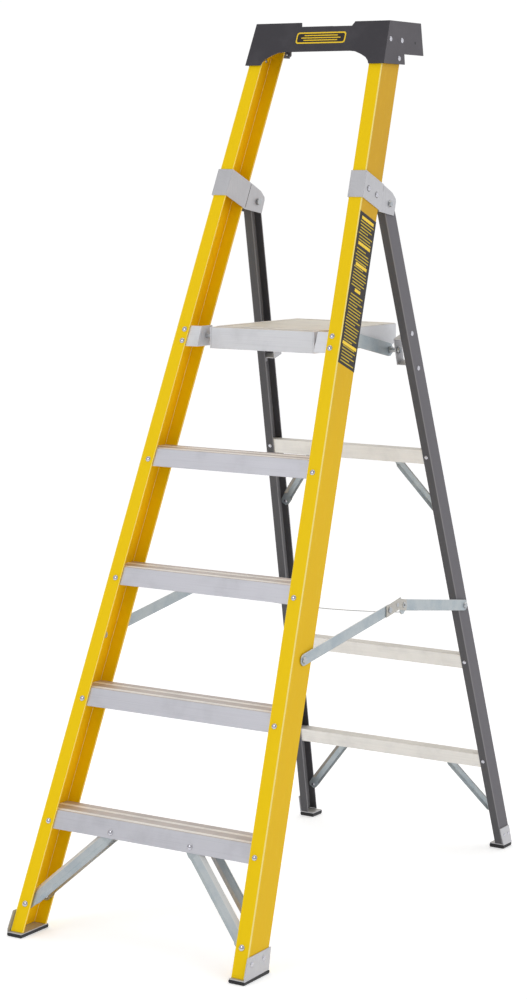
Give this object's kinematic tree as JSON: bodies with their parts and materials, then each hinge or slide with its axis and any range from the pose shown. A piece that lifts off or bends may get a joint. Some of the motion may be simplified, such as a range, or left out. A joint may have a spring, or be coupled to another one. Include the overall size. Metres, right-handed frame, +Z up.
{
  "type": "platform step ladder",
  "caption": "Folding step ladder with yellow channel stiles, a lighter rear frame, flat treads, a fold-up platform on arms, jointed spreaders and a moulded top cap.",
  "frame": {"origin": "on the floor, in the middle of the ladder's width and of its depth from the front pads to the rear pads", "axes": "+Z up; +X to the right of someone who faces the treads; +Y from the front frame towards the rear frame"},
  "size_m": [0.5962, 1.2242, 1.9345],
  "materials": {
    "grp_yellow": "pultruded glass-fibre resin with a faint grain along the stile",
    "grp_grey": "pultruded glass-fibre resin, dark grey",
    "aluminium": "extruded or pressed, satin mill finish",
    "zinc": "zinc-plated steel",
    "moulded_black": "moulded, fine texture",
    "rubber": "matte"
  },
  "bodies": {
    "front_frame": {"front_stile_left": "grp_yellow", "front_stile_right": "grp_yellow", "tread_1": "aluminium", "tread_2": "aluminium", "tread_3": "aluminium", "tread_4": "aluminium", "top_cap": "moulded_black", "hinge_bracket_left": "aluminium", "hinge_bracket_right": "aluminium", "hinge_bolt_left": "zinc", "hinge_bolt_right": "zinc", "platform_bracket_left": "aluminium", "platform_bracket_right": "aluminium", "platform_bolt_left": "zinc", "platform_bolt_right": "zinc", "front_foot_bracket_left": "aluminium", "front_foot_bracket_right": "aluminium", "front_foot_pad_left": "rubber", "front_foot_pad_right": "rubber", "front_brace_left": "zinc", "front_brace_right": "zinc", "inner_brace_left": "zinc", "inner_brace_right": "zinc", "spreader_front_bolt_left": "zinc", "spreader_front_bolt_right": "zinc"},
    "rear_frame": {"rear_stile_left": "grp_grey", "rear_stile_right": "grp_grey", "rear_bar_top": "aluminium", "rear_bar_middle": "aluminium", "rear_bar_bottom": "aluminium", "rear_brace_upper_left": "zinc", "rear_brace_upper_right": "zinc", "rear_brace_lower_left": "zinc", "rear_brace_lower_right": "zinc", "rear_foot_bracket_left": "aluminium", "rear_foot_bracket_right": "aluminium", "rear_foot_pad_left": "rubber", "rear_foot_pad_right": "rubber", "arm_bracket_left": "aluminium", "arm_bracket_right": "aluminium", "arm_bolt_left": "zinc", "arm_bolt_right": "zinc", "spreader_rear_bolt_left": "zinc", "spreader_rear_bolt_right": "zinc"},
    "platform": {"platform_front_rail": "aluminium", "platform_deck": "aluminium", "platform_side_left": "aluminium", "platform_side_right": "aluminium"},
    "platform_arms": {"platform_arm_left": "zinc", "platform_arm_right": "zinc"},
    "spreader_front": {"spreader_front_bar_left": "zinc", "spreader_front_bar_right": "zinc", "spreader_link_pin_left": "zinc", "spreader_link_pin_right": "zinc"},
    "spreader_link": {"spreader_link_left": "aluminium", "spreader_link_right": "aluminium"},
    "spreader_rear": {"spreader_rear_bar_left": "zinc", "spreader_rear_bar_right": "zinc", "spreader_tie_wire": "zinc"}
  },
  "joints": [
    {"name": "rear_frame_fold", "type": "hinge", "parent": "front_frame", "child": "rear_frame", "pos_m": [0, 0.1393, 1.5381], "axis": [-1, 0, 0], "range_deg": [0, 38]},
    {"name": "platform_fold", "type": "hinge", "parent": "front_frame", "child": "platform", "pos_m": [0, -0.0751, 1.248], "axis": [1, 0, 0], "range_deg": [0, 68.6]},
    {"name": "platform_arm_swing", "type": "hinge", "parent": "rear_frame", "child": "platform_arms", "pos_m": [0, 0.2349, 1.2115], "axis": [-1, 0, 0], "range_deg": [0, 30.1]},
    {"name": "spreader_front_fold", "type": "hinge", "parent": "front_frame", "child": "spreader_front", "pos_m": [0, -0.3241, 0.6083], "axis": [1, 0, 0], "range_deg": [0, 61]},
    {"name": "spreader_link_fold", "type": "hinge", "parent": "spreader_front", "child": "spreader_link", "pos_m": [0, 0.0339, 0.6595], "axis": [-1, 0, 0], "range_deg": [0, 68.8]},
    {"name": "spreader_rear_fold", "type": "hinge", "parent": "rear_frame", "child": "spreader_rear", "pos_m": [0, 0.4155, 0.6123], "axis": [-1, 0, 0], "range_deg": [0, 60.6]}
  ],
  "couplings": [
    {"joint": "platform_fold", "follows": "rear_frame_fold", "ratio": 1.8025},
    {"joint": "platform_arm_swing", "follows": "rear_frame_fold", "ratio": 0.7882},
    {"joint": "spreader_front_fold", "follows": "rear_frame_fold", "ratio": 1.6012},
    {"joint": "spreader_link_fold", "follows": "rear_frame_fold", "ratio": 1.8069},
    {"joint": "spreader_rear_fold", "follows": "rear_frame_fold", "ratio": 1.591}
  ]
}
